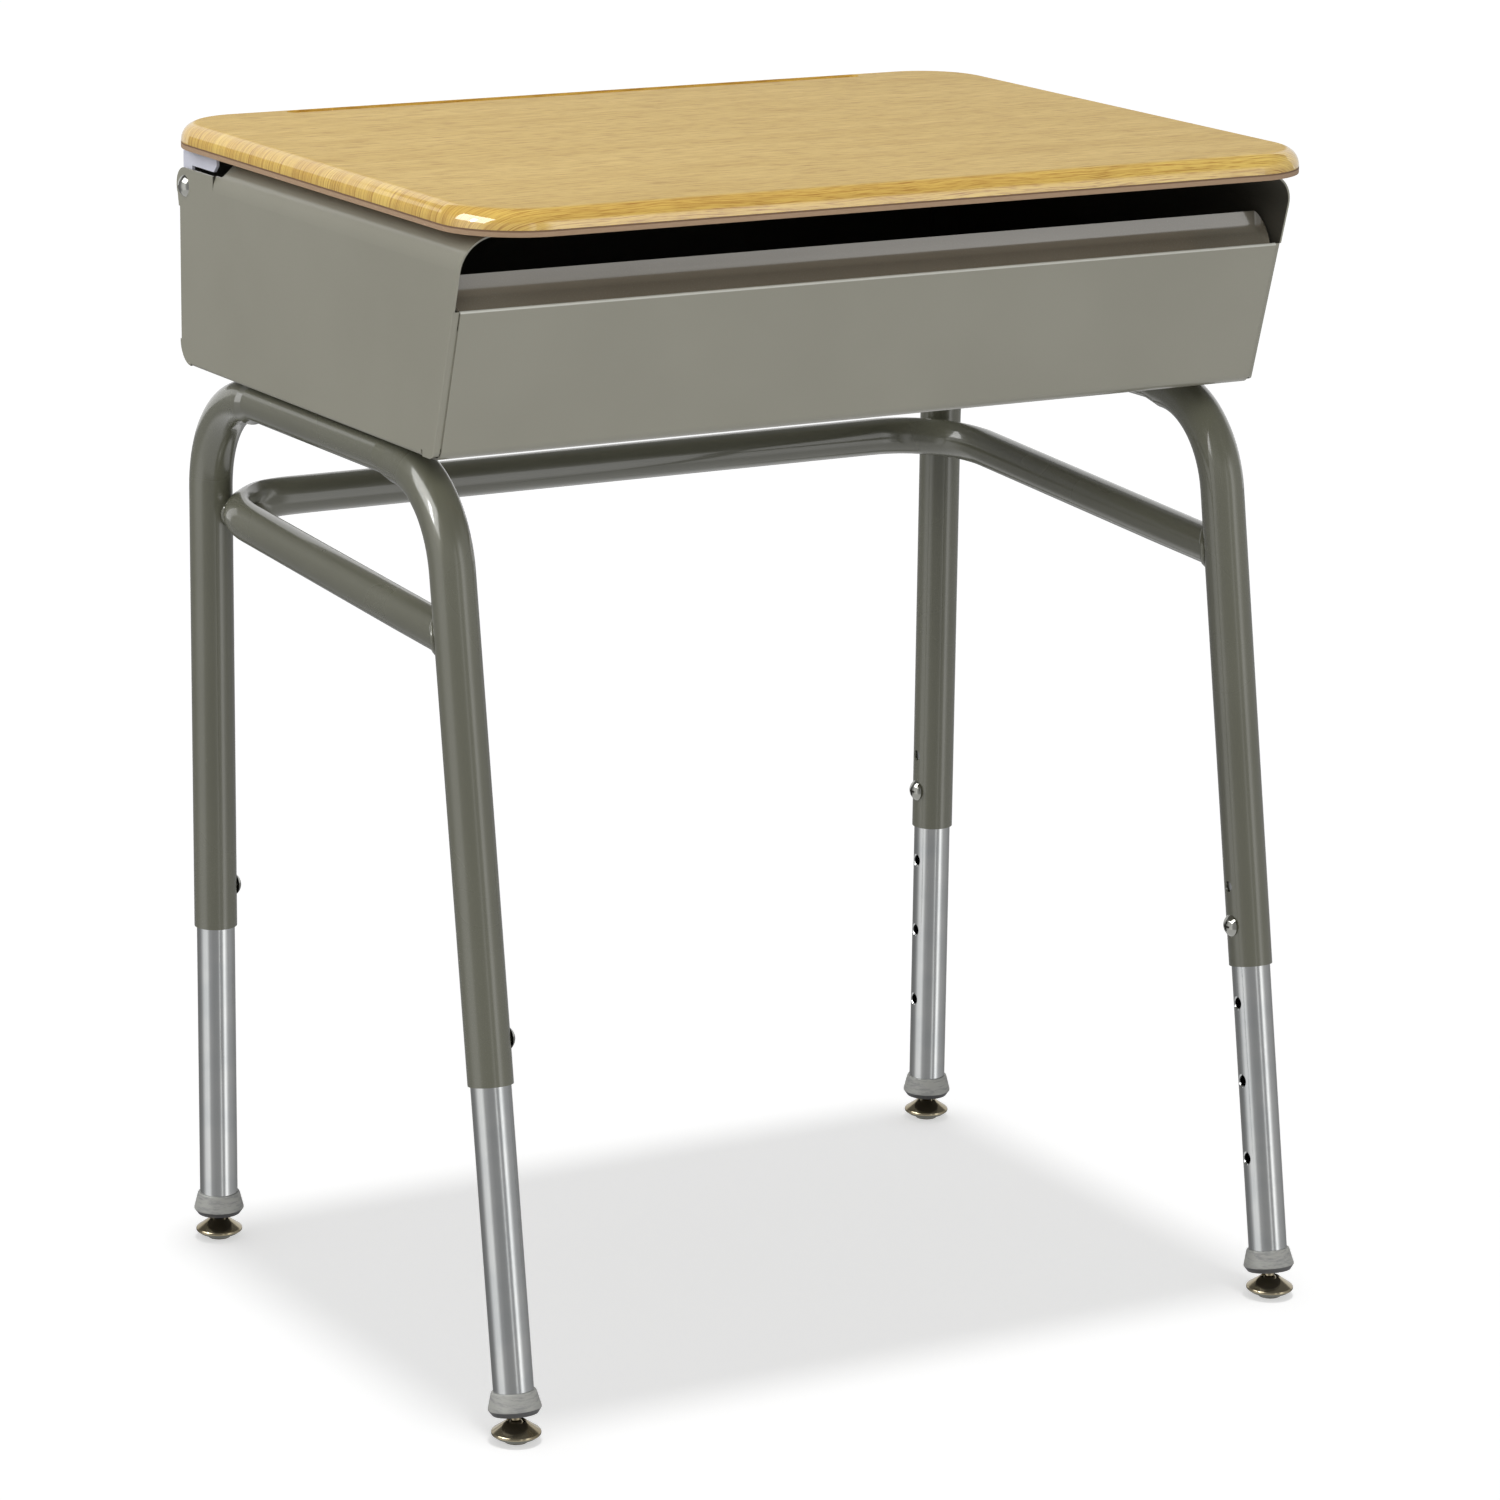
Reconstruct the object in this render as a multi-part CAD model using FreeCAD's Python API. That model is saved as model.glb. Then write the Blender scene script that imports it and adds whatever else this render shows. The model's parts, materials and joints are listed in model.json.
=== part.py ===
"""School desk with a lift lid: book box, two tube side frames, brace, telescoping legs.

Units are millimetres, +Z is up and the user sits on the -Y side. The origin lies on the floor,
under the middle of the desk's outline.
"""
import FreeCAD, Part
import math
import os
from FreeCAD import Vector

# Lid
desk_height = 762.0
lid_width = 609.6
lid_depth = 457.2
lid_corner_radius = 51.0
board_thickness = 12.0
board_roll_radius = 11.4
backer_thickness = 4.0
groove_length = 436.0
groove_width = 11.0
groove_depth = 3.0
groove_from_rear = 12.0
lid_side_overhang = 5.8
lid_front_overhang = 42.1
lid_rear_overhang = 21.6

# Book box
sheet = 1.2
box_height = 144.0
front_height = 95.0
front_lean = 16.0
front_bend_radius = 8.0
rear_bend_radius = 17.0
back_top_drop = 11.0
hem_depth = 10.0
hem_gap = 0.4
wrap_edge_inset = 4.6

# Side panels
panel_bend_radius = 2.2
panel_flange = 20.0
top_bend_radius = 22.0
top_flange = 13.0
corner_tab = 11.5
relief_width = 2.0
relief_rise = 1.8
bumper_thickness = 1.5
bumper_radius = 5.5
bumper_end_inset = 45.0
notch_length = 66.0
notch_corner_radius = 6.0

# Pencil tray
tray_sheet = 1.0
tray_wall_gap = 19.5
tray_front_drop = 3.0
tray_depth = 25.0
tray_lip = 11.5
tray_lip_lean = 25.0
tray_bend_radius = 6.0
tray_corner_radius = 9.0
tray_end_gap = 6.5
tray_wall_rise = 8.0

# Lid hinge
pivot_inset = 10.0
pivot_drop = 25.5
lug_radius = 12.0
rivet_radius = 3.2
rivet_head_radius = 7.2
rivet_head_height = 3.8
rivet_tail_radius = 5.4
rivet_tail_thickness = 1.4
arm_sheet = 2.0
arm_bend_radius = 3.0
arm_lug_radius = 9.5
arm_length = 47.0
arm_rear_reach = 4.0
arm_strip_height = 11.0
arm_chamfer = 4.5
arm_flange = 34.0
arm_screw_rows = (12.0, 26.0)
arm_screw_edge = 9.0
lid_screw_radius = 2.1
lid_screw_head_radius = 4.2
lid_screw_head_height = 2.4
lid_screw_length = 12.0

# Side frames and brace
tube_diameter = 28.575
tube_wall = 1.245
frame_inset = 16.5
rear_leg_inset = 10.0
front_foot_reach = 237.5
front_leg_lean = 9.3
frame_bend_radius = 68.0
run_height = 24.0
run_transition = 12.0
tube_end_height = 220.5
lock_hole_height = 247.3
brace_diameter = 25.4
brace_wall = 1.245
brace_rear_height = 510.0
brace_tilt = 3.3
brace_back_set = 4.0
box_screw_spacing = 140.0
box_screw_radius = 2.4
box_screw_head_radius = 5.0
box_screw_head_height = 3.0
box_screw_length = 11.0

# Telescoping legs
insert_wall = 1.25
insert_overlap = 52.7
insert_hole_pitch = 52.0
insert_hole_radius = 3.6
insert_hole_count = 4
hole_dimple = 1.0
lock_screw_radius = 3.2
lock_head_radius = 7.2
lock_head_height = 3.8
recess_length = 6.6
recess_width = 1.4
recess_depth = 2.2

# Ferrules and swivel glides
ferrule_bottom_height = 17.6
ferrule_height = 14.5
ferrule_wall = 1.2
ferrule_flare = 2.8
ferrule_lip_height = 3.4
ferrule_edge = 0.8
ferrule_tuck = 2.4
ferrule_floor = 2.6
ferrule_plug_height = 16.0
glide_radius = 15.6
glide_rim_height = 1.7
glide_rim_round = 1.4
glide_under_height = 2.0
glide_tuck = 2.8
glide_cup_top = 13.4
glide_cup_top_radius = 6.3
glide_cup_wall = 1.2
base_radius = 8.2
base_foot_height = 3.2
base_neck_radius = 11.6
base_edge_radius = 0.8
ball_height = 9.6
ball_radius = 5.4
stem_radius = 3.2
stem_collar_radius = 4.8
stem_collar_height = 2.2
stem_length = 26.0

# Clearances
fit_gap = 0.05
slip_gap = 0.3
insert_gap = 0.34
lock_gap = 0.4

# Share of a screw head's height that is rounded, how far cutters run out, least edge length
head_round = 0.6
overrun = 1.0
tiny = 1e-6

# Places worked out from the sizes above
lid_bottom = desk_height - board_thickness - backer_thickness
backer_top = lid_bottom + backer_thickness
box_bottom = lid_bottom - box_height
lid_y = (front_foot_reach + glide_radius - lid_depth / 2) / 2
lid_front_y = lid_y - lid_depth / 2
lid_rear_y = lid_y + lid_depth / 2
box_half = lid_width / 2 - lid_side_overhang
box_rear_y = lid_rear_y - lid_rear_overhang
wrap_half = box_half - wrap_edge_inset
hem_thickness = 2 * sheet + hem_gap
front_top_y = lid_front_y + lid_front_overhang
front_top_z = box_bottom + front_height
back_top_z = lid_bottom - back_top_drop
panel_inner_x = box_half - sheet
panel_top_z = lid_bottom - bumper_thickness
pivot_y = box_rear_y - pivot_inset
pivot_z = lid_bottom - pivot_drop
panel_bottom = box_bottom + sheet
panel_rear = box_rear_y - sheet
panel_corner = rear_bend_radius - sheet
bottom_bend_z = panel_bottom + panel_bend_radius
rear_bend_y = panel_rear - panel_bend_radius
rear_flange_top = pivot_z - lug_radius - relief_width
top_bend_z = panel_top_z - top_bend_radius
front_fold_depth = sheet + panel_bend_radius
notch_z = pivot_z + lug_radius
notch_y = box_rear_y - notch_length
top_fold_end = notch_y + 2 * notch_corner_radius
arm_outer_x = panel_inner_x - slip_gap
arm_front_y = pivot_y - arm_length
arm_rear_y = pivot_y + arm_rear_reach
frame_x = box_half - frame_inset
tube_radius = tube_diameter / 2
rear_leg_y = box_rear_y - rear_leg_inset
front_foot_y = lid_y - front_foot_reach
run_z = box_bottom - run_height / 2
run_flat = math.pi * (tube_diameter - run_height) / 2
bend_z = box_bottom - tube_radius
insert_radius = tube_radius - tube_wall - insert_gap
ferrule_top_radius = insert_radius + ferrule_wall
ferrule_lip_radius = ferrule_top_radius + ferrule_flare
glide_under_z = base_foot_height + glide_under_height
glide_rim_z = glide_under_z + glide_rim_height
glide_slope = (glide_radius - glide_cup_top_radius) / (glide_cup_top - glide_rim_z)
brace_radius = brace_diameter / 2
lean_sin = math.sin(math.radians(front_lean))
lean_cos = math.cos(math.radians(front_lean))
X_AXIS = Vector(1, 0, 0)
Z_AXIS = Vector(0, 0, 1)


def front_y(z, depth=0.0):
    """Y of the leaning front at height z, at a depth behind its outer face."""
    return front_top_y + (front_top_z - z) * lean_sin / lean_cos + depth / lean_cos


def yz(points):
    """Corner points in the YZ plane."""
    return [Vector(0, y, z) for y, z in points]


def rounded_path(points, radii):
    """Open wire through the points, each inner corner rounded by its radius."""
    edges = []
    start = points[0]
    for before, corner, after, radius in zip(points, points[1:], points[2:], radii):
        way_in = (corner - before).normalize()
        way_out = (after - corner).normalize()
        turn = way_in.getAngle(way_out)
        reach = radius * math.tan(turn / 2)
        arc_start = corner - way_in * reach
        arc_end = corner + way_out * reach
        inward = (way_out - way_in).normalize()
        arc_middle = corner + inward * (radius / math.cos(turn / 2) - radius)
        if (arc_start - start).Length > tiny:
            edges.append(Part.LineSegment(start, arc_start).toShape())
        edges.append(Part.Arc(arc_start, arc_middle, arc_end).toShape())
        start = arc_end
    if (points[-1] - start).Length > tiny:
        edges.append(Part.LineSegment(start, points[-1]).toShape())
    return Part.Wire(edges)


def strip(points, radii, thickness):
    """Flat face of a bent sheet; its outer edge runs through the points, rounded at the corners."""
    ways = [(b - a).normalize() for a, b in zip(points, points[1:])]
    normal = ways[0].cross(ways[1]).normalize()
    inward = [normal.cross(way) for way in ways]
    inner = [points[0] + inward[0] * thickness]
    inner_radii = []
    for corner, radius, i in zip(points[1:], radii, range(len(radii))):
        across = inward[i] + inward[i + 1]
        inner.append(corner + across * (thickness / (1 + inward[i].dot(inward[i + 1]))))
        turns_in = normal.dot(ways[i].cross(ways[i + 1])) > 0
        inner_radii.append(radius - thickness if turns_in else radius + thickness)
    inner.append(points[-1] + inward[-1] * thickness)
    ends = [Part.LineSegment(points[i], inner[i]).toShape() for i in (0, -1)]
    edges = rounded_path(points, radii).Edges + rounded_path(inner, inner_radii).Edges + ends
    return Part.Face(Part.Wire(Part.sortEdges(edges)[0]))


def bent_sheet(points, radii, thickness, half_length):
    """Sheet whose outer face follows a path in the YZ plane, centred on X = 0."""
    profile = strip(points, radii, thickness)
    profile.translate(Vector(-half_length, 0, 0))
    return profile.extrude(Vector(2 * half_length, 0, 0))


def prism(wire, direction):
    """Solid swept straight from a closed flat wire."""
    return Part.Face(wire).extrude(direction)


def revolved(profile):
    """Solid of revolution about Z from (radius, height) corners."""
    corners = [Vector(r, 0, z) for r, z in profile]
    face = Part.Face(Part.makePolygon(corners + corners[:1]))
    return face.revolve(Vector(0, 0, 0), Z_AXIS, 360)


def along_x(shape, tip):
    """Turn a solid made along +Z so that it lies along +X, and set it at its tip point."""
    turned = shape.copy()
    turned.rotate(Vector(0, 0, 0), Vector(0, 1, 0), 90)
    turned.translate(tip)
    return turned


def pan_head(radius, height):
    """Screw head standing on Z = 0 with its upper rim rounded."""
    head = Part.makeCylinder(radius, height)
    rim = [e for e in head.Edges if abs(e.BoundBox.ZMin - height) < tiny]
    return head.makeFillet(height * head_round, rim)


def dome_head(radius, height):
    """Low dome standing on Z = 0."""
    ball = (radius ** 2 + height ** 2) / (2 * height)
    dome = Part.makeSphere(ball, Vector(0, 0, height - ball))
    return dome.common(Part.makeCylinder(radius + overrun, height))


def cross_recess(top):
    """Two crossed driver slots cut down from the top of a screw head."""
    slot = Part.makeBox(recess_length, recess_width, recess_depth + overrun,
                        Vector(-recess_length / 2, -recess_width / 2, top - recess_depth))
    crossing = slot.copy()
    crossing.rotate(Vector(0, 0, 0), Z_AXIS, 90)
    return slot.fuse(crossing)


def mirrored(shape):
    """The same solid on the other side of the desk."""
    return shape.mirror(Vector(0, 0, 0), X_AXIS)


def tube(path, radius, start, direction):
    """Round bar swept along a wire of lines and arcs."""
    circle = Part.Wire([Part.makeCircle(radius, start, direction)])
    return path.makePipeShell([circle], True, False)


def lid_outline(z):
    """Rounded rectangle of the lid at height z."""
    half_w = lid_width / 2
    half_d = lid_depth / 2
    corners = [(-half_w, -half_d), (half_w, -half_d), (half_w, half_d), (-half_w, half_d)]
    middle = Vector(0, lid_y - half_d, z)
    points = [middle] + [Vector(x, lid_y + y, z) for x, y in corners[1:] + corners[:1]] + [middle]
    return rounded_path(points, [lid_corner_radius] * 4)


def lid_board():
    """Board with its upper edge rolled over and a pencil groove along the rear."""
    blank = prism(lid_outline(backer_top), Vector(0, 0, board_thickness))
    top_edges = [e for e in blank.Edges if abs(e.BoundBox.ZMin - desk_height) < tiny]
    board = blank.makeFillet(board_roll_radius, top_edges)
    groove_radius = groove_width / 2
    groove_y = lid_rear_y - groove_from_rear - groove_radius
    straight = groove_length / 2 - groove_radius
    slot = Part.makeBox(2 * straight, groove_width, groove_depth + overrun,
                        Vector(-straight, groove_y - groove_radius, desk_height - groove_depth))
    for side in (-1, 1):
        end = Vector(side * straight, groove_y, desk_height - groove_depth)
        slot = slot.fuse(Part.makeCylinder(groove_radius, groove_depth + overrun, end))
    board = board.cut(slot.removeSplitter())
    return board.cut(lid_screw_holes())


def lid_backer():
    """Brown backer board that shows as a stripe under the rolled edge."""
    return prism(lid_outline(lid_bottom), Vector(0, 0, backer_thickness)).cut(lid_screw_holes())


def lid_screw_places():
    """Points on the underside of the lid where the hinge arms are screwed on."""
    rows = (arm_front_y + arm_screw_edge, arm_rear_y - arm_screw_edge)
    return [Vector(side * (arm_outer_x - inset), y, lid_bottom)
            for side in (-1, 1) for inset, y in zip(arm_screw_rows, rows)]


def lid_screw_holes():
    """Pilot holes for the screws, with the thread fit as clearance."""
    holes = [Part.makeCylinder(lid_screw_radius + fit_gap, lid_screw_length, place - Z_AXIS * arm_sheet)
             for place in lid_screw_places()]
    return Part.makeCompound(holes)


def lid_screws():
    """Pan head screws through the hinge arms into the lid."""
    screw = pan_head(lid_screw_head_radius, lid_screw_head_height)
    shank = lid_screw_length - fit_gap
    screw = screw.fuse(Part.makeCylinder(lid_screw_radius, shank, Z_AXIS * -shank))
    screw.rotate(Vector(0, 0, 0), X_AXIS, 180)
    screws = [screw.translated(place - Z_AXIS * arm_sheet) for place in lid_screw_places()]
    return Part.makeCompound(screws)


def hinge_arm():
    """Left hinge arm: L-bracket with a pivot lug, its flange under the lid."""
    x = -arm_outer_x
    strip_z = lid_bottom - arm_strip_height
    section = [Vector(x, arm_front_y, pivot_z - arm_lug_radius), Vector(x, arm_front_y, lid_bottom),
               Vector(x + arm_flange, arm_front_y, lid_bottom)]
    profile = strip(section, [arm_bend_radius], arm_sheet)
    bracket = profile.extrude(Vector(0, arm_length + arm_lug_radius, 0))
    lug_front = pivot_y - arm_lug_radius
    leaf = yz([(arm_front_y, lid_bottom), (arm_front_y, strip_z + arm_chamfer),
               (arm_front_y + arm_chamfer, strip_z), (lug_front, strip_z), (lug_front, pivot_z),
               (arm_rear_y, pivot_z), (arm_rear_y, lid_bottom), (arm_front_y, lid_bottom)])
    outline = prism(Part.makePolygon(leaf), X_AXIS * arm_flange)
    lug = along_x(Part.makeCylinder(arm_lug_radius, arm_flange), Vector(0, pivot_y, pivot_z))
    outline = outline.fuse(lug).translated(X_AXIS * x)
    bore = along_x(Part.makeCylinder(rivet_radius + fit_gap, 2 * arm_sheet),
                   Vector(x - arm_sheet / 2, pivot_y, pivot_z))
    return bracket.common(outline).removeSplitter().cut(bore).cut(lid_screw_holes())


def hinge_rivet():
    """Left pivot rivet: dome head outside the panel, tail inside the hinge arm."""
    dome = dome_head(rivet_head_radius, rivet_head_height)
    grip = sheet + slip_gap + arm_sheet + slip_gap
    shank = Part.makeCylinder(rivet_radius, grip, Vector(0, 0, -grip))
    tail_end = Vector(0, 0, -grip - rivet_tail_thickness)
    tail = Part.makeCylinder(rivet_tail_radius, rivet_tail_thickness, tail_end)
    rivet = dome.fuse(shank).fuse(tail)
    rivet.rotate(Vector(0, 0, 0), Vector(0, 1, 0), -90)
    rivet.translate(Vector(-box_half, pivot_y, pivot_z))
    return rivet


def box_wrap():
    """Front, floor and back of the book box, bent from one sheet with a hem on each free edge."""
    hem = hem_thickness
    front_top = Vector(0, front_top_y, front_top_z)
    front_fold_top = front_top + Vector(0, lean_cos, lean_sin) * hem
    front_fold_end = front_fold_top - Vector(0, -lean_sin, lean_cos) * hem_depth
    points = [front_fold_end, front_fold_top, front_top]
    points += yz([(front_y(box_bottom), box_bottom), (box_rear_y, box_bottom), (box_rear_y, back_top_z),
                  (box_rear_y - hem, back_top_z), (box_rear_y - hem, back_top_z - hem_depth)])
    radii = [hem / 2, hem / 2, front_bend_radius, rear_bend_radius, hem / 2, hem / 2]
    wrap = bent_sheet(points, radii, sheet, wrap_half)
    return wrap.cut(box_screw_holes())


def panel_plate():
    """Flat part of the left side panel, inside its bends."""
    lug_start = (pivot_y + lug_radius * math.cos(math.radians(30)), pivot_z - lug_radius / 2)
    lug_middle = (lug_start[0], pivot_z + lug_radius / 2)
    lug_top = (pivot_y, notch_z)
    corner_share = panel_corner * (1 - math.sin(math.radians(45)))
    corner_middle = (panel_rear - corner_share, panel_bottom + corner_share)
    corner_top = (panel_rear, panel_bottom + panel_corner)
    relief_z = bottom_bend_z + relief_rise
    rear = [lug_start, (panel_rear, rear_flange_top), (rear_bend_y, rear_flange_top),
            (rear_bend_y, corner_top[1]), corner_top]
    outline = [(panel_rear - panel_corner, panel_bottom), (panel_rear - panel_corner, bottom_bend_z),
               (tab_y() + relief_width, bottom_bend_z), (tab_y() + relief_width, relief_z),
               (tab_y(), relief_z), (tab_y(), panel_bottom),
               (front_y(panel_bottom, front_fold_depth), panel_bottom),
               (front_y(front_top_z, front_fold_depth), front_top_z),
               (front_y(front_top_z, sheet), front_top_z),
               (front_y(top_bend_z, sheet), top_bend_z), (top_fold_end, top_bend_z),
               (top_fold_end, notch_z), lug_top]
    edges = [Part.LineSegment(a, b).toShape() for a, b in zip(yz(rear), yz(rear[1:]))]
    edges.append(Part.Arc(*yz([corner_top, corner_middle, outline[0]])).toShape())
    edges += [Part.LineSegment(a, b).toShape() for a, b in zip(yz(outline), yz(outline[1:]))]
    edges.append(Part.Arc(*yz([lug_top, lug_middle, lug_start])).toShape())
    plate = prism(Part.Wire(edges), X_AXIS * sheet)
    return plate.translated(X_AXIS * -box_half)


def tab_y():
    """Rear end of the small tab at the lower front corner of a side panel."""
    return front_y(panel_bottom, front_fold_depth) + corner_tab


def folded_edge(start, end, outward, radius, flange):
    """Bend and inward flange along an edge of the left panel; outward points from panel to edge."""
    corner = start + outward * radius
    section = strip([start, corner, corner + X_AXIS * (radius + flange)], [radius], sheet)
    return section.extrude(end - start)


def front_folded(low, high, flange):
    """Fold along the leaning front edge between two heights, its ends cut level."""
    forward = Vector(0, -lean_cos, -lean_sin)
    spare = front_fold_depth + panel_bend_radius
    start, end = [Vector(-box_half, front_y(z, front_fold_depth), z) for z in (low - spare, high + spare)]
    fold = folded_edge(start, end, forward, panel_bend_radius, flange)
    size = fold.BoundBox
    slab = Part.makeBox(size.XLength, size.YLength, high - low, Vector(size.XMin, size.YMin, low))
    return fold.common(slab)


def front_corner_sliver():
    """What is taken off the lower front corner of a side panel to round it like the wrap inside it."""
    radius = front_bend_radius - sheet
    corner = Vector(-box_half - overrun, front_y(panel_bottom, sheet), panel_bottom)
    up = Vector(0, -lean_sin, lean_cos)
    back = Vector(0, 1, 0)
    forward = Vector(0, -lean_cos, -lean_sin)
    reach = radius * math.tan(up.getAngle(back * -1) / 2)
    middle = corner + up * reach - forward * radius
    outer = corner + (forward - Z_AXIS) * overrun
    points = [middle, corner + up * reach, corner + up * reach + forward * overrun, outer,
              corner + back * reach - Z_AXIS * overrun, corner + back * reach, middle]
    width = panel_flange + 2 * overrun
    kept = Part.makeCylinder(radius, width, middle, X_AXIS)
    return prism(Part.makePolygon(points), X_AXIS * width).cut(kept)


def side_panel():
    """Left side panel: plate with top, front, bottom and rear edges folded inwards."""
    x = -box_half
    front_bend = front_folded(panel_bottom, front_top_z, relief_width)
    front_flange = front_folded(box_bottom + front_bend_radius, front_top_z - hem_depth - relief_width,
                                panel_flange)
    bottom = folded_edge(Vector(x, tab_y() + relief_width, bottom_bend_z),
                         Vector(x, panel_rear - panel_corner, bottom_bend_z),
                         Vector(0, 0, -1), panel_bend_radius, panel_flange)
    rear = folded_edge(Vector(x, rear_bend_y, panel_bottom + panel_corner),
                       Vector(x, rear_bend_y, rear_flange_top),
                       Vector(0, 1, 0), panel_bend_radius, panel_flange)
    ear_y = front_y(panel_top_z, sheet)
    top = folded_edge(Vector(x, ear_y, top_bend_z), Vector(x, top_fold_end, top_bend_z),
                      Z_AXIS, top_bend_radius, top_flange)
    width = X_AXIS * (top_bend_radius + top_flange)
    ear_cut = prism(Part.makePolygon(yz([(ear_y, panel_top_z), (front_y(top_bend_z, sheet), top_bend_z),
                                         (ear_y, top_bend_z), (ear_y, panel_top_z)])), width)
    above = panel_top_z + sheet
    behind = top_fold_end + sheet
    notch_edge = rounded_path(yz([(notch_y, above), (notch_y, notch_z), (behind, notch_z)]),
                              [notch_corner_radius])
    notch_rest = Part.makePolygon(yz([(behind, notch_z), (behind, above), (notch_y, above)]))
    notch = Part.Wire(notch_edge.Edges + notch_rest.Edges)
    panel = panel_plate().multiFuse([front_bend, front_flange, bottom, rear,
                                     top.cut(ear_cut.translated(X_AXIS * x))])
    bore = along_x(Part.makeCylinder(rivet_radius + fit_gap, 3 * sheet), Vector(x - sheet, pivot_y, pivot_z))
    panel = panel.removeSplitter().cut(prism(notch, width).translated(X_AXIS * x))
    return panel.cut(bore).cut(box_screw_holes()).cut(front_corner_sliver())


def tray_block(inset, rise):
    """The tray's outer form up to its lip's height, faces set in by inset and the lip longer by rise."""
    lean = math.radians(tray_lip_lean)
    lip = tray_lip + rise
    depth = hem_thickness + inset
    floor_z = front_top_z - tray_depth + inset
    wall_y = front_y(front_top_z) + tray_wall_gap - inset
    bend_z = front_top_z + tray_wall_rise + inset * math.tan(lean / 2)
    top_z = bend_z + lip * math.cos(lean)
    half_length = panel_inner_x - tray_end_gap - inset
    corners = yz([(front_y(top_z, depth), top_z), (front_y(floor_z, depth), floor_z), (wall_y, floor_z),
                  (wall_y, bend_z), (wall_y + lip * math.sin(lean), top_z), (front_y(top_z, depth), top_z)])
    block = prism(Part.makePolygon(corners), X_AXIS * 2 * half_length).translated(X_AXIS * -half_length)
    bend = [e for e in block.Edges if abs(e.BoundBox.ZMin - bend_z) < tiny and e.BoundBox.ZLength < tiny]
    block = block.makeFillet(tray_bend_radius + inset, bend)
    ends = [e for e in block.Edges if e.BoundBox.XLength < tiny and e.BoundBox.YMin > wall_y - tiny]
    return block.makeFillet(tray_corner_radius - inset, ends)


def pencil_tray():
    """Trough behind the hem of the front panel; its rear wall leans back, its ends slope to the front."""
    shell = tray_block(0, 0).cut(tray_block(tray_sheet, overrun))
    size = shell.BoundBox
    front_z = front_top_z - tray_front_drop
    slope_y = front_y(front_z, hem_thickness + tray_sheet)
    above = size.ZMax + overrun
    ahead = size.YMin - overrun
    wedge = yz([(ahead, front_z), (slope_y, front_z), (size.YMax, size.ZMax), (size.YMax, above),
                (ahead, above), (ahead, front_z)])
    spare = prism(Part.makePolygon(wedge), X_AXIS * size.XLength).translated(X_AXIS * size.XMin)
    return shell.cut(spare)


def bumpers():
    """Rubber discs on the top flanges, where the closed lid rests."""
    x = box_half - top_bend_radius - top_flange / 2
    front = front_y(panel_top_z, sheet) + bumper_end_inset
    rear = notch_y - bumper_end_inset
    discs = [Part.makeCylinder(bumper_radius, bumper_thickness, Vector(side * x, y, panel_top_z))
             for side in (-1, 1) for y in (front, rear)]
    return Part.makeCompound(discs)


def box_screw_places():
    """Points on top of the flattened tube runs where the box is screwed down."""
    run_rear = rear_leg_y - frame_bend_radius
    run_front = front_corner_y() + front_bend_reach()
    middle = (run_rear + run_front) / 2
    return [Vector(side * frame_x, middle + offset, box_bottom)
            for side in (-1, 1) for offset in (-box_screw_spacing / 2, box_screw_spacing / 2)]


def box_screw_holes():
    """Clearance holes for the box screws through sheet and tube wall."""
    drop = 2 * tube_wall
    holes = [Part.makeCylinder(box_screw_radius + fit_gap, drop + 3 * sheet, place - Z_AXIS * drop)
             for place in box_screw_places()]
    return Part.makeCompound(holes)


def box_screws():
    """Pan head screws through the box floor and side flanges into the tube runs."""
    screw = pan_head(box_screw_head_radius, box_screw_head_height)
    screw = screw.fuse(Part.makeCylinder(box_screw_radius, box_screw_length, Z_AXIS * -box_screw_length))
    screws = [screw.translated(place + Z_AXIS * 2 * sheet) for place in box_screw_places()]
    return Part.makeCompound(screws)


def front_corner_y():
    """Y where the line of a front leg would meet the level end of its bend."""
    return front_foot_y + (bend_z - ball_height) * math.tan(math.radians(front_leg_lean))


def front_bend_reach():
    """Length from that corner to the end of the front bend."""
    return frame_bend_radius * math.tan(math.radians(90 - front_leg_lean) / 2)


def leg_point(front, height):
    """Point on a left leg's axis at a height above the floor."""
    if front:
        rise = (height - ball_height) * math.tan(math.radians(front_leg_lean))
        return Vector(-frame_x, front_foot_y + rise, height)
    return Vector(-frame_x, rear_leg_y, height)


def leg_direction(front):
    """Unit vector up a leg's axis."""
    lean = math.radians(front_leg_lean) if front else 0.0
    return Vector(0, math.sin(lean), math.cos(lean))


def run_section(y, z, top, side, flat):
    """Closed wire across a run, of half height top and half width side; flat or arched top and bottom."""
    half = run_flat / 2
    rise = top if flat else math.sqrt(top ** 2 - half ** 2)
    right_top, right_low, left_low, left_top = [Vector(-frame_x + sx * half, y, z + sz * rise)
                                                for sx, sz in ((1, 1), (1, -1), (-1, -1), (-1, 1))]
    if flat:
        upper = Part.LineSegment(left_top, right_top).toShape()
        lower = Part.LineSegment(right_low, left_low).toShape()
    else:
        upper = Part.Arc(left_top, Vector(-frame_x, y, z + top), right_top).toShape()
        lower = Part.Arc(right_low, Vector(-frame_x, y, z - top), left_low).toShape()
    right = Part.Arc(right_top, Vector(-frame_x + side, y, z), right_low).toShape()
    left = Part.Arc(left_low, Vector(-frame_x - side, y, z), left_top).toShape()
    return Part.Wire([upper, right, lower, left])


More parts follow.
